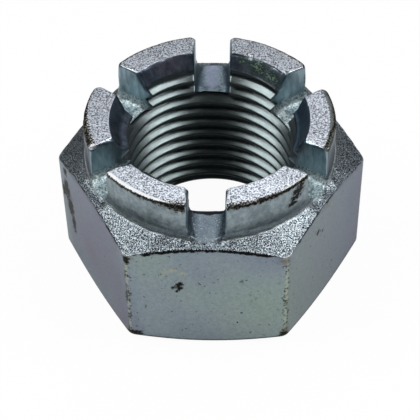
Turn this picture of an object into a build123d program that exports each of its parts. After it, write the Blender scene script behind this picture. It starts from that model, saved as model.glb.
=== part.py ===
"""Castle nut for an M36 x 3 bolt: a hexagon nut whose round crown has six slots for a cotter pin.

It is one forged and tapped piece of steel. Its axis is Z, it stands on its bearing face at Z = 0,
and the middle of that face is the origin. Two opposite corners lie on the X axis, so that each
flat, and the slot above its middle, faces 30, 90, 150, 210, 270 or 330 degrees.
"""

from build123d import *
from math import cos, isclose, radians, tan
import os

# hexagon body
across_flats = 54.2
flat_count = 6
corner_rounding = 1.9  # on the six upright edges
flat_edge_rounding = 0.4  # where the flats meet the shoulder

# from the bearing face to the top
total_height = 37.0

# sloping shoulder and crown
shoulder_slope = 28.2  # degrees that the shoulder falls outwards
crown_diameter = 50.0
crown_height = 8.1  # from the shoulder to the top
crown_foot_rounding = 0.4
crown_top_rounding = 0.8

# bearing end
bearing_diameter = 52.6
bearing_chamfer_slope = 23.0  # degrees that the chamfer rises outwards

# bore, plain at the minor diameter of its thread
thread_diameter = 36.0
thread_pitch = 3.0
minor_diameter = thread_diameter - 1.0825 * thread_pitch
top_recess_flare = 1.75  # of the steep recess inside the teeth, outwards from the thread's diameter
top_recess_half_angle = 28.0
top_countersink_half_angle = 60.0  # from the foot of the recess down into the thread
bottom_countersink_flare = 1.25  # outwards from the thread's diameter
bottom_countersink_half_angle = 45.0

# cotter slots
slot_width = 7.2
slot_undercut = 0.4  # by which the floors lie below the crown's foot
slot_floor_rounding = 1.5  # in the two corners along the floor
slot_mouth_rounding = 0.7  # where a slot opens through the side of the crown
slot_lip_start = 0.9  # outside the thread's diameter, where the level floor begins to fall towards the bore
slot_lip_slope = 30.0
slot_inner_bevel = 0.6  # where a slot's walls meet the recess

# sizes that follow from those above
shoulder_height = total_height - crown_height
slot_floor_height = total_height - (crown_height + slot_undercut)
top_recess_diameter = thread_diameter + 2 * top_recess_flare
bottom_countersink_diameter = thread_diameter + 2 * bottom_countersink_flare
slot_lip_diameter = thread_diameter + 2 * slot_lip_start
corner_radius = across_flats / 2 / cos(radians(180 / flat_count))
beyond = corner_radius + corner_rounding  # a radius outside the whole nut, where the turned profiles end
blank_height = total_height + 2 * crown_top_rounding  # before the top is turned to its height
chamfer_rise = (beyond - bearing_diameter / 2) * tan(radians(bearing_chamfer_slope))
shoulder_fall = (beyond - crown_diameter / 2) * tan(radians(shoulder_slope))
lip_fall = slot_lip_diameter / 2 * tan(radians(slot_lip_slope))
top_recess_depth = top_recess_flare / tan(radians(top_recess_half_angle))
top_countersink_depth = (thread_diameter - minor_diameter) / 2 / tan(radians(top_countersink_half_angle))
bottom_countersink_depth = (
    (bottom_countersink_diameter - minor_diameter) / 2 / tan(radians(bottom_countersink_half_angle))
)

# The space of one slot, along +X from the axis. Seen from the side, its floor is level and then
# falls towards the bore. Both long corners of the floor are rounded.
with BuildPart() as slot_space:
    with BuildSketch(Plane.XZ):
        with BuildLine():
            Polyline(
                (0, slot_floor_height - lip_fall),
                (slot_lip_diameter / 2, slot_floor_height),
                (beyond, slot_floor_height),
                (beyond, blank_height),
                (0, blank_height),
                close=True,
            )
        make_face()
    extrude(amount=slot_width / 2, both=True)
    walls = faces().filter_by(Axis.Y)
    floors = faces().filter_by(lambda face: face.normal_at().Z < 0)
    fillet([edge for edge in floors.edges() if edge in walls.edges()], slot_floor_rounding)

with BuildPart() as castle_nut:
    # hexagon bar with rounded upright edges
    with BuildSketch():
        RegularPolygon(across_flats / 2, flat_count, major_radius=False)
        fillet(vertices(), corner_rounding)
    extrude(amount=blank_height)

    # turned outline: bearing chamfer, sloping shoulder and crown
    with BuildSketch(Plane.XZ):
        with BuildLine():
            Polyline(
                (0, 0),
                (bearing_diameter / 2, 0),
                (beyond, chamfer_rise),
                (beyond, shoulder_height - shoulder_fall),
                (crown_diameter / 2, shoulder_height),
                (crown_diameter / 2, blank_height),
                (0, blank_height),
                close=True,
            )
        make_face()
        crown_foot = vertices().sort_by_distance((crown_diameter / 2, shoulder_height))[0]
        fillet(crown_foot, crown_foot_rounding)
    revolve(axis=Axis.Z, mode=Mode.INTERSECT)

    # rounded edge between the shoulder and the flats
    shoulder = faces().filter_by(GeomType.CONE).sort_by(Axis.Z)[-1]
    fillet(shoulder.edges().filter_by(GeomType.CIRCLE, reverse=True), flat_edge_rounding)

    # six slots, each over the middle of a flat, with rounded mouths
    with PolarLocations(0, flat_count, start_angle=180 / flat_count):
        add(slot_space.part, mode=Mode.SUBTRACT)
    crown_uprights = edges().filter_by(Axis.Z).filter_by(
        lambda edge: isclose(Vector(edge.center().X, edge.center().Y).length, crown_diameter / 2)
    )
    fillet(crown_uprights, slot_mouth_rounding)

    # top turned to its height, with a rounded rim on each tooth
    with BuildSketch(Plane.XZ):
        with BuildLine():
            rim_radius = crown_diameter / 2 - crown_top_rounding
            rim_height = total_height - crown_top_rounding
            Line((0, total_height), (rim_radius, total_height))
            CenterArc((rim_radius, rim_height), crown_top_rounding, 90, -90)
            Polyline(
                (crown_diameter / 2, rim_height),
                (beyond, rim_height),
                (beyond, blank_height),
                (0, blank_height),
                (0, total_height),
            )
        make_face()
    revolve(axis=Axis.Z, mode=Mode.SUBTRACT)

    # bore with a countersink at each end, and the recess inside the teeth
    with BuildSketch(Plane.XZ):
        with BuildLine():
            Polyline(
                (0, 0),
                (bottom_countersink_diameter / 2, 0),
                (minor_diameter / 2, bottom_countersink_depth),
                (minor_diameter / 2, total_height - top_recess_depth - top_countersink_depth),
                (thread_diameter / 2, total_height - top_recess_depth),
                (top_recess_diameter / 2, total_height),
                (0, total_height),
                close=True,
            )
        make_face()
    revolve(axis=Axis.Z, mode=Mode.SUBTRACT)

    # bevelled inner corners of the teeth
    recess = faces().filter_by(GeomType.CONE).group_by(Axis.Z)[-1]
    slot_walls = faces().filter_by(GeomType.PLANE).filter_by(lambda face: abs(face.normal_at().Z) < 0.01)
    chamfer([edge for edge in recess.edges() if edge in slot_walls.edges()], slot_inner_bevel)
castle_nut.part.label = "castle_nut"

os.makedirs("parts", exist_ok=True)
export_step(castle_nut.part, "parts/castle_nut.step")
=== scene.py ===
"""Castle nut of zinc-plated steel: hexagon, sloping shoulder, slotted crown and M36 x 3 thread.

The nut is one closed skin. Columns run round it and rows run along its section, up the bore, over
the teeth or the slot floors and down the outside. Each point is then moved onto the nut's true
surface, which is a signed distance put together from its flats, cones, bore, thread and slots.
Lengths are in millimetres until the skin becomes a mesh. Directions round the nut are in degrees
from +X, so that the front of the photograph is at 270 and its left at 180.
"""
import bpy
import numpy as np
from math import cos, exp, pi, radians, sin, tan
from mathutils import Matrix, Vector


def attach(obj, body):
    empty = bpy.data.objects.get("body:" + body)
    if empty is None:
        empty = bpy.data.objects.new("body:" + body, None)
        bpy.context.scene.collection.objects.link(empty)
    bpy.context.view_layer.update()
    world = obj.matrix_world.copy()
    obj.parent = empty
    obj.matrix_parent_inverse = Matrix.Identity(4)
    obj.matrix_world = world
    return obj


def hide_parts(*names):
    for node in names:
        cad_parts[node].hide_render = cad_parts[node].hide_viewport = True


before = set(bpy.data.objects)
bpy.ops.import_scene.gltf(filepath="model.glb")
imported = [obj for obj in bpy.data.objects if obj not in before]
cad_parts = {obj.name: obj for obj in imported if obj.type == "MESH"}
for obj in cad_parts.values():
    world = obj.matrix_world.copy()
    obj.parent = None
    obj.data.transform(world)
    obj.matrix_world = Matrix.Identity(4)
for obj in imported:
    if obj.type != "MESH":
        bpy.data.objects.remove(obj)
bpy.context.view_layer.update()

MM = 0.001

# Hexagon, shoulder and crown
FLAT_DISTANCE = 27.1
FORGED_SHALLOW = np.array([0, 0.45, 0.45, 0, 0, 0])  # by which each flat lies too far in, from the one at 30 on
CORNER_ROUNDING = 1.9
SHOULDER_HEIGHT = 28.9
SHOULDER_SLOPE = radians(28.2)
SHOULDER_EDGE_ROUNDING = 0.4  # where the flats meet the shoulder
CROWN_RADIUS = 25.0
CROWN_FOOT_ROUNDING = 0.55
CROWN_RIM_ROUNDING = 0.75
TOTAL_HEIGHT = 37.0

# Bearing end
BEARING_RADIUS = 26.3
BEARING_SLOPE = radians(23.0)
BEARING_ROUNDING = 0.3  # of both edges of the chamfer
BOTTOM_RIM = 19.25

# Thread, and the steep recess with its countersink; shares are of one pitch
PITCH = 3.0
MAJOR_RADIUS = 18.0
MINOR_RADIUS = MAJOR_RADIUS - 0.54127 * PITCH
THREAD_PHASE = 0.34  # height of the first crest's upper edge, towards +X
CREST_TO_ROOT = 0.42  # from a crest's edge to the middle of the root beside it
FLANK = 0.3575
CREST_EASE, ROOT_EASE = 0.10, 0.06  # half widths over which a flank eases into crest and root, as shares of its depth
TOP_RIM = 19.75
RECESS_FOOT = MAJOR_RADIUS
RECESS_ANGLE, SINK_ANGLE = radians(28.0), radians(60.0)  # from the axis
RECESS_BOTTOM = TOTAL_HEIGHT - (TOP_RIM - RECESS_FOOT) / tan(RECESS_ANGLE)
LAST_ROOT = (32.2, 33.1)  # heights between which the recess closes the last root
CREST_FADE = 0.15  # half width over which the crests fade into the recess and its countersink
BORE_EDGE = (0.18, 0.4)  # rounding of the bore's edges, and the cosine of the angle between the normals there

# Slots
HALF_SLOT = 3.6
FLOOR_HEIGHT = 28.5
FLOOR_ROUNDING = 1.5  # of the two corners along the floor, towards the bore
LIP_RADIUS = 18.9  # where the floor begins to fall towards the bore
FRONT_LIP = 17.9  # the same for the front slot
LIP_SLOPE = radians(26.0)


def unit_noise(points, size, seed):
    """Smooth value noise between -1 and 1: random numbers on a cubic lattice of this size, eased and blended. The
    random number of a lattice point is its three whole numbers and the seed, multiplied and mixed bit by bit."""
    q = points / size
    cell = np.floor(q).astype(np.int64)
    part = q - cell
    ease = part * part * (3 - 2 * part)
    total = 0.0
    for corner in range(8):
        step = np.array([corner & 1, corner >> 1 & 1, corner >> 2 & 1])
        n = cell + step
        h = (n[:, 0] * 374761393 + n[:, 1] * 668265263 + n[:, 2] * 2147483647 + seed * 97463) & 0xFFFFFFFF
        h = ((h ^ (h >> 13)) * 1274126177) & 0xFFFFFFFF
        h = (h ^ (h >> 16)) & 0xFFFF
        weight = np.prod(np.where(step, ease, 1 - ease), axis=1)
        total = total + weight * (h / 32767.5 - 1)
    return total


def eased(x, low, high):
    """0 below low, 1 above high, and a smooth rise between."""
    t = np.clip((x - low) / (high - low), 0, 1)
    return t * t * (3 - 2 * t)


def rounded(a, b, radius, cosine=0.0):
    """Greater of two distances, with the edge where they meet rounded; cosine is of the angle between normals."""
    far_a, far_b = a + radius, b + radius
    on_edge = (far_a > far_b * cosine) & (far_b > far_a * cosine)
    reach = np.sqrt(np.maximum(far_a**2 + far_b**2 - 2 * far_a * far_b * cosine, 0) / (1 - cosine**2))
    return np.where(on_edge, reach - radius, np.maximum(a, b))


def hexagon(x, y):
    """Distance outside the six flats, two of them forged slightly shallow: the greatest of the six, rounded where it
    meets the next greatest. Neighbours' normals are 60 degrees apart."""
    turn = np.radians(30 + 60 * np.arange(6))[:, None]
    flats = np.cos(turn) * x + np.sin(turn) * y - (FLAT_DISTANCE - FORGED_SHALLOW)[:, None]
    ranked = np.partition(flats, 4, axis=0)
    return rounded(ranked[5], ranked[4], CORNER_ROUNDING, 0.5)


def soft_floor(x, width):
    """0 below 0 and x above it, with a parabola of this half width between."""
    return np.where(x < -width, 0, np.where(x > width, x, (x + width) ** 2 / (4 * width)))


def thread_radius(theta, z):
    """Right-hand thread: from the middle of a root, half of it, a flank and a narrow worn crest, all eased."""
    from_root = np.mod(z / PITCH - theta / (2 * pi) - THREAD_PHASE - CREST_TO_ROOT + 0.5, 1) - 0.5
    depth = (CREST_TO_ROOT - np.abs(from_root)) / FLANK
    depth = 1 - soft_floor(1 - soft_floor(depth, CREST_EASE), ROOT_EASE)
    return MINOR_RADIUS + (MAJOR_RADIUS - MINOR_RADIUS) * depth


def bore_radius(theta, z):
    """Widest of the thread, the bottom countersink, and the steep recess with the countersink at its foot, into
    which the crests fade softly and which closes the last root."""
    recess = TOP_RIM - (TOTAL_HEIGHT - z) * tan(RECESS_ANGLE)
    sink = RECESS_FOOT - (RECESS_BOTTOM - z) * tan(SINK_ANGLE)
    thread = thread_radius(theta, z)
    closed = np.minimum(thread, recess + 4 * (1 - eased(z, *LAST_ROOT)))
    thread = np.where(z > LAST_ROOT[0], closed, thread)
    return np.maximum(thread + soft_floor(np.minimum(recess, sink) - thread, CREST_FADE), BOTTOM_RIM - z)


def floor_height(u, lip=LIP_RADIUS):
    """A slot's floor: level, then falling towards the bore inside the lip."""
    return FLOOR_HEIGHT - np.maximum(lip - u, 0) * tan(LIP_SLOPE)


def parts_of_surface(p):
    """Distances to the faces that bound the nut at each point, and its place in the nearest slot: out along the
    slot, and across it. The bore's is scaled to be nearly a distance on the thread's flanks too."""
    x, y, z = p.T
    r = np.hypot(x, y)
    theta = np.arctan2(y, x)
    phi = np.mod(theta, pi / 3) - pi / 6
    u, across = r * np.cos(phi), r * np.sin(phi)
    cone = (z - SHOULDER_HEIGHT + (r - CROWN_RADIUS) * tan(SHOULDER_SLOPE)) * cos(SHOULDER_SLOPE)
    return {
        "r": r, "theta": theta, "z": z, "u": u, "across": across,
        "hexagon": hexagon(x, y),
        "shoulder": cone,
        "crown": r - CROWN_RADIUS,
        "top": z - TOTAL_HEIGHT,
        "chamfer": ((r - BEARING_RADIUS) * tan(BEARING_SLOPE) - z) * cos(BEARING_SLOPE),
        "bottom": -z,
        "bore": (bore_radius(theta, z) - r) * 0.75,
        "slot_wall": HALF_SLOT - np.abs(across),
        "slot_floor": z - floor_height(u, np.where((np.abs(x) < 7) & (y < 0), FRONT_LIP, LIP_RADIUS)),
    }


def nut_distance(p):
    """Distance outside the finished nut: its faces cut one another, and every edge has its rounding. The shoulder
    lies lower before each slot, the slots' floor corners grow rounder outwards, and a slot's edges are rounded most
    where it opens through the crown's wall and into the recess."""
    f = parts_of_surface(p)
    r, z, u = f["r"], f["z"], f["u"]
    before_slot = (1 - eased(np.abs(f["across"]), 3.0, 4.6)) * (1 - eased(r, 25.8, 27.4))
    turned = -rounded(-f["shoulder"] - 0.22 * before_slot, -f["crown"], CROWN_FOOT_ROUNDING, sin(SHOULDER_SLOPE))
    body = rounded(f["hexagon"], turned, SHOULDER_EDGE_ROUNDING, sin(SHOULDER_SLOPE))
    body = rounded(body, f["chamfer"], BEARING_ROUNDING, sin(BEARING_SLOPE))
    body = rounded(body, f["bottom"], BEARING_ROUNDING, cos(BEARING_SLOPE))
    body = rounded(body, f["top"], CROWN_RIM_ROUNDING + 0.35 * eased(np.cos(f["theta"]), 0.8, 0.95))
    body = rounded(body, f["bore"], *BORE_EDGE)
    slot = rounded(-f["slot_wall"], -f["slot_floor"], FLOOR_ROUNDING + 1.5 * eased(u, 21.5, 25.5))
    mouth = eased(r, 23.6, 24.8) * eased(z, 29.4, 31.4)
    inner = (1 - eased(r, 19.6, 23.0)) * eased(z, 31.0, 34.0)
    edge = 0.16 + 0.54 * mouth * (1 + 0.8 * eased(z, 33.5, 36.5)) + 0.55 * inner + 0.14 * eased(z, 36.0, 36.6)
    return rounded(body, -slot, edge)


def slope_of_distance(p, h):
    """Slope of the nut's distance along X, Y and Z, from its values a short way to either side."""
    return np.stack([(nut_distance(p + h * e) - nut_distance(p - h * e)) / (2 * h) for e in np.eye(3)], 1)


def onto_surface(p):
    """Five Newton steps along the distance's own slope, each no longer than half a millimetre."""
    for _ in range(5):
        d = nut_distance(p)
        slope = slope_of_distance(p, 0.002)
        steepness = np.maximum((slope**2).sum(1), 0.05)
        move = -(d / steepness)[:, None] * slope
        length = np.linalg.norm(move, axis=1, keepdims=True)
        p = p + move * np.minimum(1, 0.5 / np.maximum(length, 1e-9))
    return p


# Columns round one slot, from the middle of one tooth to the middle of the next
TOOTH_MM = np.array([0, .27, .54, .81, 1.1, 1.6, 2.2, 2.8, 3.4, 4.0, 4.6, 5.2, 5.8, 6.4, 7.0, 7.6, 8.15, 8.6, 8.9,
                     9.12, 9.32, 9.48])
TOOTH_SHARE = TOOTH_MM / TOOTH_MM[-1]
WALL_LEVELS = 30
WALL_HEIGHTS = FLOOR_HEIGHT + FLOOR_ROUNDING + np.concatenate([
    np.linspace(0, 6.1, WALL_LEVELS - 4), 7 - np.array([0.65, 0.42, 0.22, 0.08, 0])])
CORNER_TURNS = np.radians([18, 36, 54, 72])  # along the rounded corner, from a slot's floor to its wall
FLOOR_ACROSS = np.linspace(-1, 1, 11) * (HALF_SLOT - FLOOR_ROUNDING)

TOOTH, WALL, CORNER, FLOOR = range(4)


def columns():
    """Kind, side of the slot, share of the half tooth, place across the slot, level on the wall or turn in the
    corner, and slot of each column. The six sectors are alike, and the first column comes again at the end."""
    rows = [(TOOTH, -1, s, -HALF_SLOT, WALL_LEVELS) for s in TOOTH_SHARE]
    rows += [(WALL, -1, 1, -HALF_SLOT, k) for k in range(WALL_LEVELS - 1, -1, -1)]
    rows += [(CORNER, -1, 1, -(HALF_SLOT - FLOOR_ROUNDING * (1 - sin(a))), a) for a in CORNER_TURNS[::-1]]
    rows += [(FLOOR, 1 if x > 0 else -1, 1, x, 0) for x in FLOOR_ACROSS]
    rows += [(CORNER, 1, 1, HALF_SLOT - FLOOR_ROUNDING * (1 - sin(a)), a) for a in CORNER_TURNS]
    rows += [(WALL, 1, 1, HALF_SLOT, k) for k in range(WALL_LEVELS)]
    rows += [(TOOTH, 1, s, HALF_SLOT, WALL_LEVELS) for s in TOOTH_SHARE[::-1]]
    sector = np.array(rows[:-1], float)
    kind, side, share, across, level = np.vstack([np.tile(sector, (6, 1)), rows[-1]]).T
    slot = np.append(np.repeat(np.arange(6), len(sector)), 5)
    return kind.astype(int), side, share, across, level, slot


KIND, SIDE, SHARE, ACROSS, LEVEL, SLOT = columns()
MIDDLE = np.radians(60 * SLOT + 30)
LIP = np.where(SLOT == 4, FRONT_LIP, LIP_RADIUS)


def column_angle(r, cols=slice(None)):
    """A column's direction at a radius: straight across a slot, and in proportion over a tooth."""
    share, side, across = SHARE[cols], SIDE[cols], ACROSS[cols]
    shape = (-1,) + (1,) * (np.ndim(r) - 1)
    share, side, across, middle = (v.reshape(shape) for v in (share, side, across, MIDDLE[cols]))
    in_slot = np.arcsin(across / r)
    on_tooth = side * (pi / 6 - share * (pi / 6 - np.arcsin(HALF_SLOT / r)))
    return middle + np.where(share < 1, on_tooth, in_slot)


# Rows up the thread follow its helix: places along one pitch, from the upper edge of a crest
THREAD_ROWS = np.array([0, .05, .14, .25, FLANK, .4825, .60, .72, .80, 2 * CREST_TO_ROOT, .92])
THREAD_TURNS = np.arange(-2, 13)
THREAD_START = 1.2  # height below which no row follows the thread
MID_BORE = 17.0  # a radius inside the thread, from which each search for the bore's own radius starts


def helix_heights(theta):
    """Heights of the thread's rows at each direction, rising one pitch in a full turn."""
    turns = THREAD_TURNS[:, None] + THREAD_PHASE + THREAD_ROWS[None, :]
    return PITCH * (turns.ravel()[None, :] + theta / (2 * pi))


def bore_rows(low, high, cols=slice(None)):
    """Points of the thread's rows in the columns, held between a low and a high end."""
    r = np.full((len(KIND[cols]), len(THREAD_TURNS) * len(THREAD_ROWS)), MID_BORE)
    for _ in range(12):
        theta = column_angle(r, cols)
        z = helix_heights(theta)
        z = np.clip(z, low, np.asarray(high).reshape(-1, 1))
        r = bore_radius(theta, z)
    return r, theta, z


def crossing(low, high, beyond):
    """Where each column passes a boundary between low and high: the range is halved towards it forty times."""
    for _ in range(40):
        middle = (low + high) / 2
        past = beyond(middle)
        low, high = np.where(past, low, middle), np.where(past, middle, high)
    return (low + high) / 2


def inner_ends():
    """Height at which each column leaves the bore: the top, a row of the thread on a slot's wall, or the lip."""
    ends = np.full(len(KIND), TOTAL_HEIGHT)
    rise = np.ones(len(KIND))
    for slot in range(6):
        for side in (-1, 1):
            walls = np.flatnonzero((KIND == WALL) & (SLOT == slot) & (SIDE == side))
            r, theta, z = bore_rows(-np.inf, np.inf, walls[:1])
            lip = floor_height(np.sqrt(r[0] ** 2 - HALF_SLOT**2), LIP[walls[0]])
            # the wall starts at the row nearest to the top of the floor's rounded corner
            first = np.argmin(np.abs(z[0] - lip - FLOOR_ROUNDING))
            ends[walls] = np.minimum(z[0][first + LEVEL[walls].astype(int)], TOTAL_HEIGHT)
            corners = np.flatnonzero((KIND == CORNER) & (SLOT == slot) & (SIDE == side))
            rise[corners] = (z[0][first] - lip[first]) / FLOOR_ROUNDING
    low_ones = np.flatnonzero(KIND >= CORNER)
    up = FLOOR_ROUNDING * (1 - np.cos(LEVEL[low_ones])) * rise[low_ones]

    def above_lip(z):
        """Whether the bore at this height is above the slot's floor or its rounded corner."""
        r = np.full(len(z), MID_BORE)
        for _ in range(6):
            r = bore_radius(column_angle(r, low_ones), z)
        return z > floor_height(np.sqrt(r**2 - ACROSS[low_ones] ** 2), LIP[low_ones]) + up

    ends[low_ones] = crossing(np.full(len(low_ones), 25.0), np.full(len(low_ones), 32.0), above_lip)
    return ends


def outer_ends():
    """Radius and height at which each column turns down the outside: the crown's rim, a level of a slot's wall, or
    the place where a slot's floor runs out on the shoulder."""
    z = np.where(KIND == WALL, WALL_HEIGHTS[np.where(KIND == WALL, LEVEL, 0).astype(int)], TOTAL_HEIGHT)
    z = np.where(KIND >= CORNER, FLOOR_HEIGHT + FLOOR_ROUNDING * (1 - np.cos(LEVEL)), z)
    return CROWN_RADIUS + np.maximum(SHOULDER_HEIGHT - z, 0) / tan(SHOULDER_SLOPE), z


def up_the_bore(ends):
    """Radius, direction and height of the points up the bore: four on the bottom countersink, and then the rows
    that follow the thread, held at each column's end."""
    z = np.tile([0.0, 0.12, 0.35, 0.8], (len(KIND), 1))
    r = BOTTOM_RIM - z
    foot = np.stack([r, column_angle(r), z], 2)
    return np.concatenate([foot, np.stack(bore_rows(THREAD_START, ends), 2)], 1)


def over_the_top(inner_r, inner_z, outer_r, outer_z):
    """Radius, direction and height of the points from the bore to the outside: level over a tooth, and along a
    slot the floor's height and a rise that blends from the inner end's to the outer end's. The rows crowd at the
    ends, and one keeps to the line where the floor begins to fall."""
    near = np.linspace(0, 1, 5)[1:]
    far = np.array([.12, .25, .38, .5, .62, .72, .8, .865, .91, .945, .975, 1])
    near_share = 0.15
    crown_u = np.sqrt(CROWN_RADIUS**2 - ACROSS**2)
    outer_u = np.sqrt(outer_r**2 - ACROSS**2)
    inner_u = np.sqrt(np.maximum(inner_r**2 - ACROSS**2, 0))
    break_u = np.maximum(LIP, inner_u + near_share * (crown_u - inner_u))
    u = np.concatenate([inner_u[:, None] + near * (break_u - inner_u)[:, None],
                        break_u[:, None] + far * (outer_u - break_u)[:, None]], 1)
    share = (u - inner_u[:, None]) / (outer_u - inner_u)[:, None]
    rise_in = inner_z - floor_height(inner_u, LIP)
    rise_out = outer_z - FLOOR_HEIGHT
    slot_z = floor_height(u, LIP[:, None]) + rise_in[:, None] * (1 - share) + rise_out[:, None] * share
    shares = np.concatenate([near * near_share, near_share + far * (1 - near_share)])
    tooth_r = TOP_RIM + (CROWN_RADIUS - TOP_RIM) * shares
    on_tooth = (KIND == TOOTH)[:, None]
    r = np.where(on_tooth, tooth_r, np.hypot(u, ACROSS[:, None]))
    return np.stack([r, column_angle(r), np.where(on_tooth, TOTAL_HEIGHT, slot_z)], 2)


def down_the_outside(outer_r, outer_z):
    """Radius, direction and height of the points down the outside, and how many rows the crown, shoulder, flat,
    chamfer and bearing face have. Each is straight in section, and its rows crowd where it meets the next. Rows
    above a column's outer end stay at that end."""
    n = len(KIND)
    foot = np.array([25.12, 25.25, 25.42, 25.6, 25.746])
    edge_t = column_angle(np.full(n, foot[-1]))
    edge_r = crossing(np.full(n, 25.8), np.full(n, 32.0),
                      lambda r: hexagon(r * np.cos(edge_t), r * np.sin(edge_t)) > 0)[:, None]
    crown_z = np.concatenate([WALL_HEIGHTS[::-1], [29.75, 29.5, 29.3, 29.14, 29.01, SHOULDER_HEIGHT]])
    out = np.array([.1, .2, .3, .4, .5, .6, .7, .79, .87, .93, .97, 1])
    shoulder_r = np.concatenate([np.tile(foot, (n, 1)), foot[-1] + out * (edge_r - foot[-1])], 1)
    shoulder_z = SHOULDER_HEIGHT - (shoulder_r - CROWN_RADIUS) * tan(SHOULDER_SLOPE)
    down = np.concatenate([[.004, .008, .013, .02, .03], np.linspace(.06, .94, 24), [.97, .985, .994, 1]])
    chamfer_top = (edge_r - BEARING_RADIUS) * tan(BEARING_SLOPE)
    flat_z = shoulder_z[:, -1:] + down * (chamfer_top - shoulder_z[:, -1:])
    chamfer_r = edge_r + np.array([.12, .4, .7, .9, 1]) * (BEARING_RADIUS - edge_r)
    chamfer_z = (chamfer_r - BEARING_RADIUS) * tan(BEARING_SLOPE)
    inwards = np.array([.04, .12, .4, .7, .96, 1])
    bearing_r = np.tile(BEARING_RADIUS + inwards * (BOTTOM_RIM - BEARING_RADIUS), (n, 1))
    radii = [np.full((n, len(crown_z)), CROWN_RADIUS), shoulder_r, np.tile(edge_r, (1, len(down))), chamfer_r,
             bearing_r]
    heights = [np.tile(crown_z, (n, 1)), shoulder_z, flat_z, chamfer_z, np.zeros_like(bearing_r)]
    r, z = np.concatenate(radii, 1), np.concatenate(heights, 1)
    above = z > outer_z[:, None]
    r = np.where(above, outer_r[:, None], r)
    z = np.where(above, outer_z[:, None], z)
    return np.stack([r, column_angle(np.minimum(r, foot[-1])), z], 2), [rows.shape[1] for rows in radii]


def skin_grid():
    """All columns by all rows, as points in space, with the section that each row belongs to."""
    inner_z = inner_ends()
    outer_r, outer_z = outer_ends()
    bore = up_the_bore(inner_z)
    over = over_the_top(bore[:, -1, 0], inner_z, outer_r, outer_z)
    outside, counts = down_the_outside(outer_r, outer_z)
    sections = np.repeat(np.arange(7), [bore.shape[1], over.shape[1], *counts])
    r, theta, z = np.moveaxis(np.concatenate([bore, over, outside], 1), 2, 0)
    return np.stack([r * np.cos(theta), r * np.sin(theta), z], 2), sections


BORE, OVER, CROWN, SHOULDER, FLAT, CHAMFER, BEARING = range(7)


def weld(grid, sections):
    """Joins points that coincide, drops faces that close up, and keeps each face's section and column kind."""
    n, m, _ = grid.shape
    _, first, ids = np.unique(np.round(grid.reshape(-1, 3), 3), axis=0, return_index=True, return_inverse=True)
    points = grid.reshape(-1, 3)[first]
    ids = ids.reshape(n, m)
    a, b, c, d = ids[:-1, :-1], ids[1:, :-1], ids[1:, 1:], ids[:-1, 1:]
    faces = np.stack([a, b, c, d], 2).reshape(-1, 4)
    section = np.tile(sections[1:], (n - 1, 1)).reshape(-1)
    kind = np.repeat(np.maximum(KIND[:-1], KIND[1:]), m - 1)
    # a face with one side closed up is kept as a triangle, and one with more is dropped
    same = faces == np.roll(faces, -1, axis=1)
    repeats = same.sum(1) + (faces[:, 0] == faces[:, 2]) + (faces[:, 1] == faces[:, 3])
    quads = repeats == 0
    tris = (same.sum(1) == 1) & (faces[:, 0] != faces[:, 2]) & (faces[:, 1] != faces[:, 3])
    drop = np.argmax(same[tris], axis=1)
    keep = np.array([[1, 2, 3], [0, 2, 3], [0, 1, 3], [0, 1, 2]])[drop]
    tri_faces = np.take_along_axis(faces[tris], keep, axis=1)
    return points, faces[quads], tri_faces, section[quads], section[tris], kind[quads], kind[tris]


def mesh_from(name, points, quads, tris):
    """A mesh of these points in metres, with the four-sided faces before the three-sided ones."""
    mesh = bpy.data.meshes.new(name)
    mesh.vertices.add(len(points))
    mesh.vertices.foreach_set("co", (points * MM).astype(np.float32).ravel())
    loops = np.concatenate([quads.ravel(), tris.ravel()])
    starts = np.concatenate([np.arange(len(quads)) * 4, len(quads) * 4 + np.arange(len(tris)) * 3])
    mesh.loops.add(len(loops))
    mesh.loops.foreach_set("vertex_index", loops.astype(np.int32))
    mesh.polygons.add(len(starts))
    mesh.polygons.foreach_set("loop_start", starts.astype(np.int32))
    mesh.update(calc_edges=True)
    mesh.validate()
    return mesh


def outward(p):
    """Unit normal of the nut's surface at each point, from the slope of its distance."""
    slope = slope_of_distance(p, 0.01)
    return slope / np.maximum(np.linalg.norm(slope, axis=1, keepdims=True), 1e-9)


def on_front(marks):
    """Marks on the front flat, each given as X, Z and its half widths along them."""
    return [((x, -FLAT_DISTANCE, z), (wide, 1.5, high)) for x, z, wide, high in marks]


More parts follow.
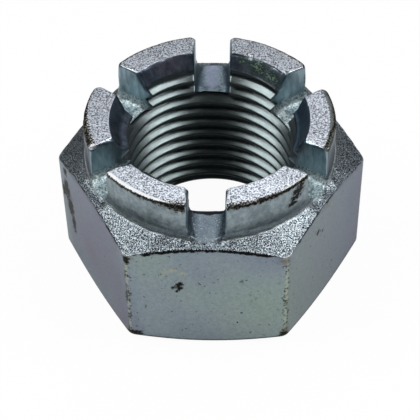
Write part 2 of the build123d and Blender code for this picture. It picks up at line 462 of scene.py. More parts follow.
# Marks of use and of the works, and a painted shadow: middle, and half widths along X, Y and Z
DENTS = on_front([(-5.3, 17.3, 1.0, 1.1), (-6.5, 16.9, 0.8, 0.4), (-5.8, 15.3, 0.8, 0.35)])
DARK_MARKS_AND_SHADOW = DENTS + on_front([
    (6.8, 9.3, 0.4, 0.4), (-11.5, 5.1, 0.6, 0.3), (2.2, 21.3, 0.4, 0.4), (7.0, 19.0, 0.9, 0.5),
    (-3.3, 24.7, 0.6, 0.3), (-9.0, 20.8, 0.6, 0.5), (5.9, 6.5, 0.3, 0.4), (-13.0, 21.6, 0.4, 0.7),
    (-14.9, 2.6, 2.0, 0.9),
]) + [
    # at the front flat's corners
    ((15.3, -27.0, 2.7), (1.1, 1.5, 1.1)), ((-15.4, -27.0, 24.9), (0.7, 1.5, 1.6)),
    # scuffs down the left flat
    ((-29.2, -3.6, 19.8), (1.4, 1.4, 3.0)), ((-28.7, -4.6, 15.6), (1.5, 1.7, 3.6)),
    ((-28.3, -5.2, 11.2), (1.3, 1.1, 3.0)), ((-29.3, -3.5, 24.6), (1.1, 1.1, 1.4)),
    ((-30.0, -2.0, 18.0), (0.8, 1.0, 2.4)),
    # scratch on the right flat
    ((21.6, -16.8, 22.0), (0.6, 0.8, 0.8)), ((21.0, -17.8, 23.2), (0.45, 0.7, 0.5)),
    ((22.6, -15.1, 20.6), (0.45, 0.7, 0.5)), ((20.0, -19.6, 20.9), (0.45, 0.7, 0.4)),
    # stain down the front right tooth
    ((17.3, -18.1, 34.9), (1.8, 1.7, 1.2)), ((16.9, -18.5, 33.5), (1.5, 1.7, 0.9)),
    ((16.3, -19.0, 32.3), (1.3, 1.5, 0.7)), ((17.9, -17.4, 36.0), (1.2, 1.3, 0.6)),
    # painted shadow beside the burr on the left tooth's corner
    ((-21.1, -8.3, 36.9), (0.6, 0.5, 0.6)), ((-22.5, -8.5, 35.9), (0.9, 0.6, 0.25)),
]
YELLOW_MARKS = on_front([(-6.8, 22.0, 1.9, 1.1), (-4.6, 20.6, 1.5, 0.8), (-8.4, 20.2, 1.2, 0.6)])
RUST_MARKS = [
    ((15.6, -27.0, 2.8), (1.6, 1.6, 2.6)), ((-15.6, -27.0, 2.2), (1.4, 1.6, 1.6)),
    ((15.0, -27.1, 25.0), (1.6, 1.5, 1.6)), ((-15.2, -27.1, 25.2), (1.2, 1.5, 1.4)),
    ((23.4, -13.7, 26.6), (1.4, 1.8, 0.9)),
]
PURPLE_MARKS = [((-9.0, 16.8, 35.6), (3.4, 2.6, 1.5))]
GREEN_MARKS = [
    ((9.4, 16.4, 35.6), (3.0, 2.4, 1.5)), ((12.6, 14.0, 35.0), (2.4, 2.4, 1.3)),
    ((6.2, 17.6, 36.2), (1.6, 1.2, 0.8)),
]
BURR_DROP = [((-22.4, -8.75, 36.75), (0.95, 0.95, 0.8))]  # where the burr is folded over a tooth's corner


def folded_burr(turn):
    """Share of the bright burr that is folded over the rims of the two front teeth, thinner on the right one."""
    left = eased(turn, 217, 221) * (1 - 0.75 * eased(turn, 242, 264)) * (turn < 265)
    return left + 0.66 * eased(turn, 296, 308) * (1 - eased(turn, 320, 323))


def nearness(marks, p):
    """Scaled distance to the nearest mark: 0 at its middle and 1 at its outline."""
    return np.min([np.linalg.norm((p - middle) / half, axis=1) for middle, half in marks], axis=0)


def relief(p):
    """Millimetres by which the skin lies below the true surface: hammered forging on the tops, shoulder and slot
    floors, faint waves on the crown's wall, a ragged trim groove along the upper edge of the flats, chips along
    the rims, and dents. The burr folded over the rims, and its drop on a tooth's corner, stand proud of it."""
    f = parts_of_surface(p)
    r, z = f["r"], f["z"]
    coarse, fine = unit_noise(p, 1.7, 3), unit_noise(p, 0.8, 5)

    # hammered forging, deepest on the slot floors, and waves on the crown's wall
    hammered = 0.075 * (1 + coarse) + 0.035 * (1 + fine)
    on_top = eased(z, 36.4, 36.9) * eased(24.9 - r, 0, 0.5)
    on_shoulder = eased(r, 25.1, 25.5) * eased(-f["hexagon"], 0.1, 0.6) * eased(z, 20, 22)
    on_floor = eased(0.5 - f["slot_floor"], 0, 0.3) * eased(f["slot_wall"], 0.2, 0.9)
    on_floor = on_floor * eased(f["slot_floor"], -0.6, -0.2)
    waves = 0.03 * (1 + unit_noise(p, 4.5, 11)) + (0.012 + 0.035 * (1 - eased(z, 29.6, 32.5))) * (1 + fine)
    on_wall = eased(0.4 - np.abs(f["crown"]), 0, 0.3) * eased(z, 29.2, 29.8) * eased(36.6 - z, 0, 0.4)

    # trim groove, which stops short of the flats' corners
    ragged = np.clip(0.55 + 0.75 * unit_noise(p, 1.9, 21) + 0.3 * fine, 0, 1)
    trim = 0.22 * ragged * (1 - eased(np.hypot(f["hexagon"], f["shoulder"] + 0.25), 0.05, 0.45))
    trim = trim * eased(f["across"] + 13.5, 0, 1) * eased(13.5 - f["across"], 0, 1)

    # chips along the recess's rim, the crown's rim and the slots' upper edges
    rear_right = eased(f["theta"], 0.55, 0.75) * (1 - eased(f["theta"], 1.3, 1.5))
    inner_chips = (0.08 + 0.3 * rear_right) * np.clip(0.3 + unit_noise(p, 1.1, 61), 0, 1)
    inner_chips = inner_chips * (1 - eased(np.hypot(f["bore"], f["top"]), 0.2, 0.8))
    rim_chips = (0.07 + 0.12 * (p[:, 1] < 0)) * np.clip(unit_noise(p, 1.3, 31) + 0.2, 0, 1)
    rim_chips = rim_chips * (1 - eased(np.hypot(f["crown"], f["top"]), 0.3, 0.9))
    slot_chips = 0.12 * np.clip(unit_noise(p, 0.9, 41) + 0.1, 0, 1)
    slot_chips = slot_chips * (1 - eased(np.abs(f["slot_wall"]), 0.15, 0.5)) * eased(z, 36.2, 36.7)

    # dents, and the burr, which never rises above the crown's top
    dents = 0.3 * (1 - eased(nearness(DENTS, p), 0.2, 1.0))
    folded = folded_burr(np.degrees(f["theta"]) % 360)
    ridge = folded * (1 - eased(np.hypot(r - 24.6, z - 36.85), 0.05, 0.5))
    burr = np.minimum(0.25 * ridge * (1.1 + 0.9 * unit_noise(p, 1.1, 71)), np.maximum(TOTAL_HEIGHT - z, 0))
    proud = np.maximum(ridge, 1 - eased(nearness(BURR_DROP, p), 0.5, 1.0))

    forged = hammered * (1 - proud) * np.clip(on_top + on_shoulder + 2.2 * on_floor, 0, 2.2)
    return dents - burr + forged + waves * on_wall + trim + rim_chips * (1 - folded) + slot_chips + inner_chips


grid, sections = skin_grid()
points, quads, tris, quad_section, tri_section, quad_kind, tri_kind = weld(grid, sections)
section = np.concatenate([quad_section, tri_section])
kind = np.concatenate([quad_kind, tri_kind])
points = onto_surface(points)
points = points - relief(points)[:, None] * outward(points)
mesh = mesh_from("castle_nut_skin", points, quads[:, ::-1], tris[:, ::-1])
nut = bpy.data.objects.new("castle_nut_skin", mesh)
bpy.context.scene.collection.objects.link(nut)
mesh.polygons.foreach_set("use_smooth", np.ones(len(mesh.polygons), bool))
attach(nut, "root")
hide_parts("castle_nut")


def burr_shade_band(turn, z, r):
    """Place in the dark burr and the painted shade along the crown's rim, 0 at the rim and 1 at their upper and lower
    edges. It is a hairline on most teeth, widens towards the front slot on the two front ones, and is widened as
    painted shade on the left, right and rear teeth."""
    front_left = (turn > 214) & (turn < 270)
    left = eased(turn, 244, 260) * front_left
    front_right = ((turn >= 270) & (turn < 330)) * (1 - 0.35 * eased(turn, 300, 312))
    right = (1 - eased(turn, 278, 298)) * front_right
    side = eased(np.abs(np.cos(np.radians(turn))), 0.75, 0.95)
    left_side = eased(turn, 165, 200) * (turn < 212)
    rear = eased(np.sin(np.radians(turn)), 0.3, 0.6)
    lower = 0.35 + 1.0 * left + 0.3 * front_left * (1 - left) + 0.3 * front_right + 0.05 * right + 0.9 * side
    upper = 0.25 + 0.3 * front_left + 0.55 * left + 0.45 * front_right + 0.35 * right + 0.8 * left_side + 0.25 * rear
    right_side = eased(turn, 332, 340) * (1 - eased(turn, 350, 358))
    along = (TOTAL_HEIGHT - z) - (CROWN_RADIUS - r) + 0.5 * left_side + 0.8 * right_side
    return np.where(along > 0, along / (lower - 0.5 * left_side - 0.7 * right_side), -along / upper)


def painted_light_tone(theta, z, r):
    """Painted light and shade on the forged skin: dullest at the sides of the shoulder and on the rear teeth."""
    turn = np.degrees(theta) % 360
    ahead = np.abs(turn - 270)
    shoulder = 0.43 + 0.24 * (1 - eased(ahead, 5, 22)) - 0.06 * eased(ahead, 50, 75)
    shoulder = shoulder * np.where((turn > 270) | (turn < 90), 1.15, 1.0) * (1 + 0.2 * eased(np.cos(theta), 0.5, 0.9))
    slot_floor = 0.95 + 0.08 * ((turn > 120) & (turn < 180))
    tooth = np.interp(turn, [0, 60, 120, 180, 240, 300, 360], [1.0, 0.72, 0.72, 0.84, 1.2, 1.3, 1.0])
    return np.where(z > 33, tooth, np.where(r > 25.2, shoulder, slot_floor))


def painted_flat_shade(turn):
    """Painted shade on the flats: the front flat as it is, its neighbours duller."""
    return np.where((turn > 240) & (turn < 300), 1.0, np.where(turn >= 300, 0.83, 0.88))


def passivation_bloom(p, turn):
    """Hue of the film on the flats, from green below 0 to lavender at 1: cloudy, lavender on the left flat, and
    running from green to lavender across the right one."""
    clouds = (0.55 * unit_noise(p, 13.0, 51) + 0.25 * unit_noise(p, 5.0, 52)) * (1 - 0.7 * eased(turn, 298, 306))
    left = 0.75 * eased(turn, 178, 190) * (1 - eased(turn, 234, 246))
    right = eased(turn, 298, 302) * np.interp(turn, [298, 312, 328, 345, 358], [-0.3, 0.0, 0.3, 0.55, 0.9])
    return clouds + left + right


# What the finishes follow, kept at every point of the skin: distances in millimetres, shares and tones. FAR keeps
# a finish away.
FAR = 9.0
f = parts_of_surface(points)
turn = np.degrees(f["theta"]) % 360
across_flat = np.abs(f["across"])
from_flat_edge = np.hypot(f["hexagon"], f["shoulder"])
from_crown_foot = np.hypot(f["crown"], f["shoulder"])
past_crown_rim = (TOTAL_HEIGHT - f["z"]) - (CROWN_RADIUS - f["r"])
near_corner = eased(across_flat, 11.8, 14.5)
in_straight_slots = np.abs(points[:, 0]) < 6
traces = {
    "from_slot_mm": -f["slot_wall"],
    "from_foot_mm": np.hypot(f["hexagon"], f["chamfer"]),
    "from_corner_mm": FLAT_DISTANCE * tan(pi / 6) - across_flat,
    # painted: a black line along the flats' top edge, thinner off the front flat, and a highlight on it near the
    # corners
    "painted_dark_edge": from_flat_edge + 1.5 * near_corner + 0.14 * (np.abs(turn - 270) > 30),
    "painted_edge_highlight": from_flat_edge + 1.5 * (1 - near_corner),
    # painted light and shade on the forged skin, by direction round the nut
    "painted_light_tone": painted_light_tone(f["theta"], f["z"], f["r"]),
    # painted shade on the flats beside the front one
    "painted_flat_shade": painted_flat_shade(turn),
    "hammer": np.where((np.abs(turn - 210) < 16) | (np.abs(turn - 330) < 16) | (f["r"] > 25.6) | (f["z"] > 34), 1, 0.5),
    # painted shade on the right tooth's rim
    "olive_rim_shade": np.abs(past_crown_rim + 0.35) / 0.95 + FAR * ((turn > 28) & (turn < 335)),
    # painted blue sheen on the recess's right side
    "painted_blue_sheen": 3.0 * (1 - eased(np.cos(f["theta"]), 0.6, 0.85)),
    # painted shade on the crown's wall at the left and right
    "painted_side_shade": 3.0 * (1 - eased(np.abs(np.cos(f["theta"])), 0.72, 0.9)),
    "green_mark": nearness(GREEN_MARKS, points),
    "purple_mark": nearness(PURPLE_MARKS, points),
    "from_crown_foot_mm": from_crown_foot,
    # painted shade at the crown's foot, with less of it at the front right
    "painted_foot_shade": from_crown_foot + eased(turn, 275, 290) * (1 - eased(turn, 325, 335)),
    "from_inner_rim_mm": np.hypot(f["bore"], f["top"]),
    "thread_depth": (f["r"] - MINOR_RADIUS) / (MAJOR_RADIUS - MINOR_RADIUS),
    "mouth_burr_and_shade": np.hypot(f["slot_wall"], f["crown"]) + FAR * ((turn < 33) | (turn > 50)),
    # the dark burr and painted shade along the crown's rim
    "rim_burr_and_shade": burr_shade_band(turn, f["z"], f["r"]),
    "white_burr": np.minimum(
        5.1 * np.hypot(f["r"] - 24.45, f["z"] - 36.95) - 1.6 + 4 * (1 - folded_burr(turn)),
        3 * nearness(BURR_DROP, points) - 2.0),
    "dark_mark_and_shadow": nearness(DARK_MARKS_AND_SHADOW, points),
    "rust_mark": nearness(RUST_MARKS, points),
    "yellow_mark": nearness(YELLOW_MARKS, points),
    # painted lavender highlight down the middle of the rear slot's floor
    "painted_floor_highlight_mm": np.where(in_straight_slots & (points[:, 1] > 0), np.abs(points[:, 0] + 0.2), FAR)
                       + eased(19.2 - f["u"], 0, 1.5),
    "front_floor": np.where(in_straight_slots & (points[:, 1] < 0), 0.25 * eased(24.5 - f["u"], 0, 5), FAR),
    "quiet_floor": np.where(in_straight_slots, HALF_SLOT - across_flat, FAR),
    "bloom": passivation_bloom(points, turn),
}
for name, values in traces.items():
    mesh.attributes.new(name, "FLOAT", "POINT").data.foreach_set("value", values.astype(np.float32))


def srgb(hex_colour):
    """Linear colour of an sRGB hex value."""
    c = np.array([int(hex_colour[k:k + 2], 16) for k in (1, 3, 5)]) / 255
    return (*np.where(c <= 0.04045, c / 12.92, ((c + 0.055) / 1.055) ** 2.4), 1.0)


def put(tree, kind, into=None, stops=None, **settings):
    """Adds a node with its settings; into gives each input a value, or a node or socket to link from."""
    node = tree.nodes.new(kind)
    for key, value in settings.items():
        setattr(node, key, value)
    for key, value in (into or {}).items():
        socket = node.inputs[key]
        if isinstance(value, bpy.types.Node):
            tree.links.new(value.outputs[0], socket)
        elif isinstance(value, bpy.types.NodeSocket):
            tree.links.new(value, socket)
        else:
            socket.default_value = value
    for k, (place, colour) in enumerate(stops or []):
        stop = node.color_ramp.elements[k] if k < 2 else node.color_ramp.elements.new(place)
        stop.position = place
        stop.color = srgb(colour)
    return node


GRIME = 0.15  # sum of a colour's linear parts, up to which it is taken for grime or scale
HIDDEN = 0.9  # share of the metal that grime hides where it is thickest


def begin(name):
    """A metal material on the nut, its node tree, its shader, and object coordinates in millimetres."""
    material = bpy.data.materials.new(name)
    material.use_nodes = True
    tree = material.node_tree
    shader = tree.nodes["Principled BSDF"]
    shader.inputs["Metallic"].default_value = 1.0
    place = put(tree, "ShaderNodeTexCoord")
    mm = put(tree, "ShaderNodeMapping", {"Vector": place.outputs["Object"], "Scale": (1 / MM, 1 / MM, 1 / MM)})
    mesh.materials.append(material)
    return tree, shader, mm


def laid_over(tree, skin, noise, overlays):
    """Other colours laid over a finish, each where a trace, made ragged by a noise, is below low; gone above high.
    A skin is its colour and how metallic it is; dark colours are grime or scale, which hides the metal."""
    colour, metal = skin
    for trace, wander, low, high, over, most in overlays:
        near = put(tree, "ShaderNodeAttribute", attribute_name=trace)
        edge = put(tree, "ShaderNodeMath", {0: noise, 1: wander, 2: near.outputs["Fac"]}, operation="MULTIPLY_ADD")
        share = put(tree, "ShaderNodeMapRange", {"Value": edge, "From Min": low, "From Max": high,
                                                 "To Min": most, "To Max": 0})
        colour = put(tree, "ShaderNodeMix", {0: share, 6: colour, 7: srgb(over)}, data_type="RGBA").outputs[2]
        if sum(srgb(over)[:3]) <= GRIME:
            metal = put(tree, "ShaderNodeMath", {0: share, 1: -HIDDEN, 2: metal}, operation="MULTIPLY_ADD",
                        use_clamp=True)
    return colour, metal


def finish_shader(tree, shader, skin, roughness):
    """Gives the shader a skin's colour and metal, and a roughness. Grime that hides the metal takes its gloss too."""
    tree.links.new(skin[0], shader.inputs["Base Color"])
    if isinstance(skin[1], bpy.types.Node):
        tree.links.new(skin[1].outputs[0], shader.inputs["Metallic"])
        gloss = put(tree, "ShaderNodeMath", {0: skin[1], 1: 0.5}, operation="MULTIPLY")
        tree.links.new(gloss.outputs[0], shader.inputs["Specular IOR Level"])
    else:
        shader.inputs["Metallic"].default_value = skin[1]
    shader.inputs["Roughness"].default_value = roughness


def forged_zinc(name, colours, grain, relief_mm, roughness, overlays):
    """Hot-forged or sheared steel skin under bright zinc: fine dark pits between rounded grains, and edges
    rubbed bright. Colours run from the pits to the grains' tops; grain and relief are in mm."""
    tree, shader, mm = begin(name)
    grains = put(tree, "ShaderNodeTexNoise", {"Vector": mm, "Scale": 1 / grain, "Detail": 2.0, "Roughness": 0.6})
    drift = put(tree, "ShaderNodeTexNoise", {"Vector": mm, "Scale": 0.22, "Detail": 3.0})
    shift = put(tree, "ShaderNodeMapRange", {"Value": drift.outputs["Fac"], "From Min": 0.3, "From Max": 0.7,
                                             "To Min": -0.02, "To Max": 0.02})
    shade = put(tree, "ShaderNodeMath", {0: grains.outputs["Fac"], 1: shift}, operation="ADD")
    tone = put(tree, "ShaderNodeValToRGB", {"Fac": shade},
               stops=[(0.36, colours[0]), (0.44, colours[1]), (0.51, colours[2]), (0.64, colours[3])])
    # the forged skin's colour is multiplied by its painted light and shade
    painted_light = put(tree, "ShaderNodeAttribute", attribute_name="painted_light_tone")
    skin = put(tree, "ShaderNodeMix", {0: 1.0, 6: tone.outputs["Color"], 7: painted_light.outputs["Fac"]}, data_type="RGBA",
               blend_type="MULTIPLY").outputs[2], 1.0
    finish_shader(tree, shader, laid_over(tree, skin, grains.outputs["Fac"], overlays), roughness)
    hammer = put(tree, "ShaderNodeAttribute", attribute_name="hammer")
    bump = put(tree, "ShaderNodeBump", {"Strength": hammer.outputs["Fac"], "Distance": relief_mm * MM,
                                        "Height": grains.outputs["Fac"]})
    tree.links.new(bump.outputs[0], shader.inputs["Normal"])


def satin_flat(name, overlays):
    """Flats pressed smooth and zinc plated: satin, grey-green with a blue and lavender bloom of passivation and
    pin-prick dark specks, which gather at the upright edges."""
    tree, shader, mm = begin(name)
    bloom = put(tree, "ShaderNodeAttribute", attribute_name="bloom")
    shifted = put(tree, "ShaderNodeMapRange", {"Value": bloom.outputs["Fac"], "From Min": -0.8, "From Max": 1.2})
    tone = put(tree, "ShaderNodeValToRGB", {"Fac": shifted},
               stops=[(0.15, "#8B9A95"), (0.36, "#899698"), (0.52, "#859198"), (0.70, "#79828F"), (0.92, "#757385")])
    fine = put(tree, "ShaderNodeTexNoise", {"Vector": mm, "Scale": 1.6, "Detail": 4.0, "Roughness": 0.7})
    mottle = put(tree, "ShaderNodeMapRange", {"Value": fine.outputs["Fac"], "From Min": 0.3, "From Max": 0.7,
                                              "To Min": 0.86, "To Max": 1.12})
    # painted shade on the side flats
    side = put(tree, "ShaderNodeAttribute", attribute_name="painted_flat_shade")
    mottle_and_painted_shade = put(tree, "ShaderNodeMath", {0: mottle, 1: side.outputs["Fac"]}, operation="MULTIPLY")
    toned = put(tree, "ShaderNodeMix", {0: 1.0, 6: tone.outputs[0], 7: mottle_and_painted_shade}, data_type="RGBA", blend_type="MULTIPLY")
    speck = put(tree, "ShaderNodeTexNoise", {"Vector": mm, "Scale": 1.1, "Detail": 3.0, "Roughness": 0.72})
    corner = put(tree, "ShaderNodeAttribute", attribute_name="from_corner_mm")
    near = put(tree, "ShaderNodeMapRange", {"Value": corner.outputs["Fac"], "From Min": 0.0, "From Max": 1.5,
                                            "To Min": 0.15, "To Max": 0})
    spots = put(tree, "ShaderNodeMath", {0: speck.outputs["Fac"], 1: near}, operation="ADD")
    dark = put(tree, "ShaderNodeMapRange", {"Value": spots, "From Min": 0.645, "From Max": 0.69, "To Max": 0.9})
    specked = put(tree, "ShaderNodeMix", {0: dark, 6: toned.outputs[2], 7: srgb("#35372B")}, data_type="RGBA")
    skin = laid_over(tree, (specked.outputs[2], 1.0), speck.outputs["Fac"], overlays)
    finish_shader(tree, shader, skin, 0.42)
    bump = put(tree, "ShaderNodeBump", {"Strength": 0.5, "Distance": 0.03 * MM, "Height": fine.outputs["Fac"]})
    tree.links.new(bump.outputs[0], shader.inputs["Normal"])


def turned_zinc(name, colours, roughness, streak=(1, 1, 0.2), size=1.2, overlays=(), relief_mm=0.03, metal=1.0):
    """Turned or milled steel under zinc: smooth, with fine marks drawn out along the cut. A film of passivation
    hides the metal where metal is below 1."""
    tree, shader, mm = begin(name)
    drawn = put(tree, "ShaderNodeVectorMath", {0: mm, 1: streak}, operation="MULTIPLY")
    marks = put(tree, "ShaderNodeTexNoise", {"Vector": drawn, "Scale": 1 / size, "Detail": 4.0, "Roughness": 0.65})
    tone = put(tree, "ShaderNodeValToRGB", {"Fac": marks.outputs["Fac"]},
               stops=[(0.3, colours[0]), (0.5, colours[1]), (0.7, colours[2])])
    grain = put(tree, "ShaderNodeTexNoise", {"Vector": mm, "Scale": 1.7, "Detail": 3.0, "Roughness": 0.7})
    skin = laid_over(tree, (tone.outputs[0], metal), grain.outputs["Fac"], overlays)
    finish_shader(tree, shader, skin, roughness)
    bump = put(tree, "ShaderNodeBump", {"Strength": 0.5, "Distance": relief_mm * MM, "Height": marks.outputs["Fac"]})
    tree.links.new(bump.outputs[0], shader.inputs["Normal"])


# Each overlay: trace, raggedness, where it is full, where it is gone, colour, greatest share
# dark olive painted shade on the right tooth's rim rounding
OLIVE_RIM_SHADE = ("olive_rim_shade", 0.8, 1.2, 1.45, "#565C57", 0.85)
# the dark burr, with painted shade beside it and along the rim's rounding
DARK_BURR_AND_SHADE = [("rim_burr_and_shade", 3.0, 2.35, 2.75, "#423F34", 0.9), ("rim_burr_and_shade", 5.0, 2.9, 3.2, "#171614", 0.95)]
BRIGHT_BURR = ("white_burr", 5.0, 2.6, 3.0, "#E9EBEA", 0.95)
# dark burr line and painted shade on the rounded mouth edge beside the rear right tooth
MOUTH_BURR_AND_SHADE = ("mouth_burr_and_shade", 1.6, 1.2, 1.6, "#2A2B22", 0.9)
# dark stains, and the painted shadow beside the burr
CROWN_STAIN_AND_SHADOW = ("dark_mark_and_shadow", 2.4, 1.9, 2.25, "#161412", 1.0)

# Sheared and hammered tops of the teeth: the brightest and coarsest grain, rubbed white along the slots and the
# recess, with a folded burr on the rim, painted shade beside it and along the rim's rounding, and painted light
# and shade that differs from tooth to tooth
forged_zinc("zinc_plated_tooth_top", ["#54555A", "#85888D", "#B8BCC1", "#DDE0E4"], 0.33, 0.10, 0.36, [
    ("from_slot_mm", 0.9, 0.5, 0.85, "#E6E8EC", 0.6), ("from_inner_rim_mm", 0.9, 0.5, 0.8, "#DDE0E6", 0.5),
    OLIVE_RIM_SHADE, *DARK_BURR_AND_SHADE, BRIGHT_BURR, CROWN_STAIN_AND_SHADOW])
# Forged shoulder: finer, darker grain with deep pits, a painted highlight at the crown's foot and at the flats'
# corners, and a painted black line at the trimmed edge
forged_zinc("zinc_plated_shoulder", ["#1E252B", "#5A646C", "#98A3AA", "#D4DEE2"], 0.27, 0.09, 0.36, [
    ("from_crown_foot_mm", 1.5, 1.0, 1.3, "#A9B4B9", 0.5), ("painted_edge_highlight", 0.6, 0.4, 0.6, "#B4BABC", 0.7),
    ("painted_dark_edge", 0.9, 0.62, 0.8, "#0A0D10", 1.0)])
# Forged slot floors: coarse and blue-grey, and in the front and rear slots quieter, with painted shade at their
# sides and a painted lavender highlight down the middle of the rear slot
forged_zinc("zinc_plated_slot_floor", ["#66757A", "#8A989C", "#A3B1B3", "#BFCCCD"], 0.40, 0.07, 0.52, [
    # after the quiet tint: painted shade along the floor's sides, and a painted highlight down the rear slot's middle
    ("quiet_floor", 0.0, 5.0, 8.0, "#5B6776", 0.55), ("quiet_floor", 0.8, 1.6, 2.6, "#3F4E58", 0.75),
    ("front_floor", 5.0, 1.85, 2.45, "#CBD2D8", 0.55),
    ("painted_floor_highlight_mm", 2.6, 1.8, 3.0, "#989DB2", 0.6)])
# Pressed flats: satin, with rubbed lines and rust-brown specks down the upright edges, dark in the dents and at the
# foot, painted shade on the side flats, a painted highlight on the top edge near the corners, and a painted dark
# ragged line where the trimmed shoulder ends
satin_flat("zinc_plated_satin_flat", [
    ("from_corner_mm", 1.6, 1.0, 1.25, "#A9AD99", 0.6), ("yellow_mark", 1.6, 1.0, 1.7, "#A9A88A", 0.75),
    ("rust_mark", 2.4, 1.3, 2.3, "#6B6250", 0.7), ("dark_mark_and_shadow", 2.0, 1.7, 2.1, "#191B15", 1.0),
    ("from_foot_mm", 0.8, 0.65, 1.0, "#4C5048", 0.8), ("painted_edge_highlight", 0.6, 0.4, 0.6, "#AEB4B4", 0.7),
    ("painted_dark_edge", 0.9, 0.9, 1.1, "#0A0D10", 1.0)])
# Turned wall of the crown: smooth grey-green, with painted shade at its foot and at the sides, and the burr's dark
# line with painted shade along the rim above
turned_zinc("zinc_plated_crown_wall", ["#6F7C80", "#89969A", "#9FABAE"], 0.40, (1, 1, 0.8), 1.1, [
    ("painted_foot_shade", -4.5, -2.6, 1.4, "#39454A", 0.6), CROWN_STAIN_AND_SHADOW, MOUTH_BURR_AND_SHADE,
    ("painted_side_shade", 1.6, 1.2, 2.2, "#5A5F69", 0.8), OLIVE_RIM_SHADE, *DARK_BURR_AND_SHADE, BRIGHT_BURR], relief_mm=0.045)
# Milled slot walls: smooth and blue, with fine marks drawn out along the cut
turned_zinc("zinc_plated_slot_wall", ["#6B7F89", "#84979F", "#9AACB6"], 0.38, (1, 1, 0.25), 0.8, [
    MOUTH_BURR_AND_SHADE, (*CROWN_STAIN_AND_SHADOW[:-1], 0.9), BRIGHT_BURR])
# Turned recess: glossier, and darker partly as painted shade, with a film that stains green and purple, and a
# painted blue sheen on its right side
turned_zinc("recess_passivated_painted_dark", ["#4F5663", "#6E7887", "#8A95A3"], 0.32, (1, 1, 0.12), 1.2, [
    ("green_mark", 2.6, 2.0, 2.8, "#24382A", 0.85), ("green_mark", 5.0, 2.5, 2.9, "#8FA596", 0.7),
    ("purple_mark", 1.6, 1.4, 2.2, "#3A2C36", 0.6), ("painted_blue_sheen", 1.0, 0.8, 1.4, "#567286", 0.6)])
# Tapped thread: the glossiest, grey-green under a film, its dark base partly painted shade, and painted shade
# along the crests
turned_zinc("zinc_plated_thread", ["#485051", "#535B5C", "#5E6667"], 0.28, (0.4, 0.4, 3.0), 0.8, [
    # painted shade along the thread's crests
    ("thread_depth", 0.1, 0.06, 0.14, "#323F3D", 0.8)], relief_mm=0.012, metal=0.88)
# Faced bearing end: plain, smooth and even
turned_zinc("zinc_plated_bearing_face", ["#828C90", "#929DA1", "#A2ACB0"], 0.38, (1, 1, 1), 0.6)
TOP, SHOULDER_SKIN, SLOT_FLOOR, SATIN, CROWN_WALL, SLOT_WALL, RECESS, THREAD, BEARING_FACE = range(9)


def face_finish():
    """Finish of each face from its section of the skin and its column's kind. The recess's darker finish reaches lower
    at the left and right as painted shade, and the crown wall's goes round its foot."""
    middle = np.concatenate([points[quads].mean(1), points[tris].mean(1)])
    r, z = np.hypot(middle[:, 0], middle[:, 1]), middle[:, 2]
    finish = np.full(len(section), BEARING_FACE)
    finish[section == BORE] = THREAD
    beside = np.abs(middle[:, 0]) > 0.75 * r
    finish[(section == BORE) & (z > RECESS_BOTTOM + 0.05 - 1.1 * beside)] = RECESS
    finish[(section == BORE) & (BOTTOM_RIM - z > r - 0.06)] = BEARING_FACE
    finish[(section == OVER) & (kind == TOOTH)] = TOP
    finish[(section == OVER) & (kind == WALL)] = SLOT_WALL
    finish[(section == OVER) & (kind >= CORNER)] = SLOT_FLOOR
    finish[section == CROWN] = CROWN_WALL
    finish[section == SHOULDER] = SHOULDER_SKIN
    finish[(section == SHOULDER) & (r < 25.1) & (kind < CORNER)] = CROWN_WALL
    finish[(section == FLAT) | (section == CHAMFER)] = SATIN
    return finish


mesh.polygons.foreach_set("material_index", face_finish().astype(np.int32))

# Floor: pale paper, nearly pure white to the camera with a soft shadow left in it, and a third of that to what
# the metal mirrors
FLOOR_SIZE = 3  # metres from its middle to its edges
WHITE_TO_CAMERA, WHITE_TO_MIRRORS = 0.96, 0.3
floor_mesh = bpy.data.meshes.new("studio_floor")
floor_mesh.from_pydata([(x * FLOOR_SIZE, y * FLOOR_SIZE, 0) for x, y in ((-1, -1), (1, -1), (1, 1), (-1, 1))],
                       [], [(0, 1, 2, 3)])
floor = bpy.data.objects.new("studio_floor", floor_mesh)
bpy.context.scene.collection.objects.link(floor)
paper = bpy.data.materials.new("studio_paper")
paper.use_nodes = True
tree = paper.node_tree
tree.nodes.clear()
path = put(tree, "ShaderNodeLightPath")
plain = put(tree, "ShaderNodeBsdfDiffuse", {"Color": srgb("#E6E7E8")})
white = put(tree, "ShaderNodeEmission", {"Color": (1, 1, 1, 1), "Strength": 1.0})
mirrored = put(tree, "ShaderNodeMath", {0: path.outputs["Is Glossy Ray"], 1: path.outputs["Is Transmission Ray"]},
               operation="ADD")
shown = put(tree, "ShaderNodeMath", {0: mirrored, 1: WHITE_TO_MIRRORS}, operation="MULTIPLY")
seen = put(tree, "ShaderNodeMath", {0: path.outputs["Is Camera Ray"], 1: WHITE_TO_CAMERA, 2: shown},
           operation="MULTIPLY_ADD")
mixed = put(tree, "ShaderNodeMixShader", {0: seen, 1: plain, 2: white})
put(tree, "ShaderNodeOutputMaterial", {"Surface": mixed})
floor_mesh.materials.append(paper)

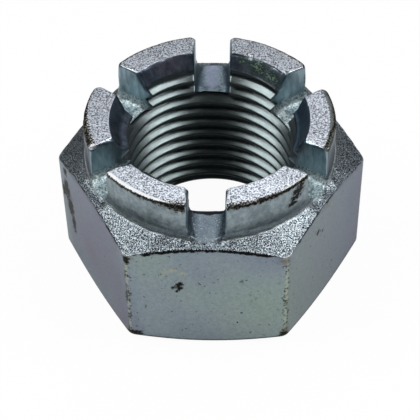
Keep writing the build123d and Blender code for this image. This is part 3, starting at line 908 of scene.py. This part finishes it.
# Camera at the photo's place: it looks down 46.7 degrees, from 306 mm away, at a point in the bore 10 mm up. The
# solved camera gave the logarithms of its focal length and of its distance.
FRAME_PX = 420
FOCAL_PX = exp(7.2826)
SENSOR_MM = 36.0
ACROSS_FLATS = 2 * FLAT_DISTANCE
DISTANCE = exp(1.731)  # in widths across flats
scene = bpy.context.scene
elevation, azimuth, roll = radians(46.698), radians(2.362), radians(-1.0485)
back = Vector((sin(azimuth) * cos(elevation), -cos(azimuth) * cos(elevation), sin(elevation)))
right = Vector((cos(azimuth), sin(azimuth), 0))
up = back.cross(right)
right, up = cos(roll) * right + sin(roll) * up, -sin(roll) * right + cos(roll) * up
aim = Vector((-0.0044, 0, 0.1871)) * ACROSS_FLATS * MM
camera_data = bpy.data.cameras.new("camera")
camera_data.sensor_width = SENSOR_MM
camera_data.lens = FOCAL_PX / FRAME_PX * SENSOR_MM
camera = bpy.data.objects.new("camera", camera_data)
place = Matrix((right, up, back)).transposed().to_4x4()
place.translation = aim + back * DISTANCE * ACROSS_FLATS * MM
camera.matrix_world = place
scene.collection.objects.link(camera)
scene.camera = camera


def softbox(name, x):
    """A plain white area lamp, 25 cm square, high on one side of the nut and facing its crown."""
    lamp = bpy.data.lights.new(name, "AREA")
    lamp.size, lamp.energy = 0.25, 1.75  # metres and watts
    holder = bpy.data.objects.new(name, lamp)
    holder.location = (x, -0.02, 0.46)
    holder.rotation_euler = (holder.location - Vector((0, 0, 0.025))).to_track_quat("Z", "Y").to_euler()
    scene.collection.objects.link(holder)


softbox("softbox_left", -0.32)
softbox("softbox_right", 0.32)

# World: a dim studio with one broad soft light high behind the nut, which its tops and shoulder mirror
REAR_LIGHT = (0, 0.69, 0.73)
DIM, BRIGHT = 0.08, 1.3
world = bpy.data.worlds.new("studio")
scene.world = world
world.use_nodes = True
tree = world.node_tree
tree.nodes.clear()
toward = put(tree, "ShaderNodeTexCoord")
facing = put(tree, "ShaderNodeVectorMath", {0: toward.outputs["Generated"], 1: REAR_LIGHT}, operation="DOT_PRODUCT")
rear = put(tree, "ShaderNodeMapRange", {"Value": facing.outputs["Value"], "From Min": 0.72, "From Max": 0.97,
                                        "To Min": DIM, "To Max": BRIGHT}, interpolation_type="SMOOTHSTEP")
studio = put(tree, "ShaderNodeBackground", {"Color": srgb("#F4F8FF"), "Strength": rear.outputs[0]})
put(tree, "ShaderNodeOutputWorld", {"Surface": studio})

scene.view_settings.view_transform = "Standard"
